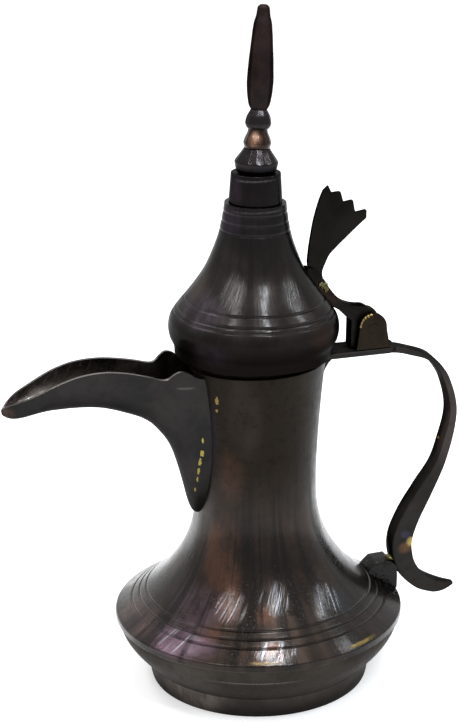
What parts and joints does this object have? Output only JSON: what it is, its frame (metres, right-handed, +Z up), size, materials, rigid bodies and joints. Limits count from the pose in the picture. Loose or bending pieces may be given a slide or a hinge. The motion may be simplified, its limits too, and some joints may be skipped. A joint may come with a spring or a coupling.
{
  "type": "dallah coffee pot",
  "caption": "Metal coffee pot with a waisted body, crescent spout, strap handle, and a hinged lid topped by a drum and a spire.",
  "frame": {"origin": "on the pot's axis, at the plane that the foot ring stands on", "axes": "+Z up along the pot's axis; +X towards the handle, so the spout points along -X; +Y across the pot and along the hinge pin"},
  "size_m": [0.2051, 0.129, 0.3011],
  "materials": {
    "patinated_copper": "glossy brown patina with reddish patches and fine scratches",
    "dark_copper": "glossy near-black patina with a faint purple tint",
    "dark_bronze": "satin near-black patina",
    "brown_bronze": "matte dark reddish brown",
    "worn_copper": "rubbed copper showing through the patina",
    "worn_brass": "rough, dulled brass"
  },
  "bodies": {
    "pot": {"upper_body": "patinated_copper", "lower_bowl": "dark_copper", "base_disc": "dark_copper", "foot_ring": "dark_copper", "spout": "dark_bronze", "handle": "dark_bronze", "handle_root_plate": "dark_bronze", "handle_saddle": "dark_bronze", "saddle_braze": "worn_brass", "hinge_ear_near": "dark_bronze", "hinge_ear_far": "dark_bronze", "hinge_pin": "worn_brass"},
    "lid": {"lid_dome": "dark_copper", "lid_drum": "dark_copper", "lid_flange": "dark_copper", "lid_strap": "dark_bronze", "thumb_fan": "dark_bronze", "fan_braze": "worn_brass", "finial_rod": "dark_bronze", "finial_washer": "dark_bronze", "finial_collar": "dark_bronze", "finial_lower_bead": "worn_copper", "finial_upper_bead": "dark_bronze", "finial_spindle": "brown_bronze"}
  },
  "joints": [
    {"name": "lid_hinge", "type": "hinge", "parent": "pot", "child": "lid", "pos_m": [0.0523, 0, 0.159], "axis": [0, 1, 0], "range_deg": [0, 100]}
  ]
}
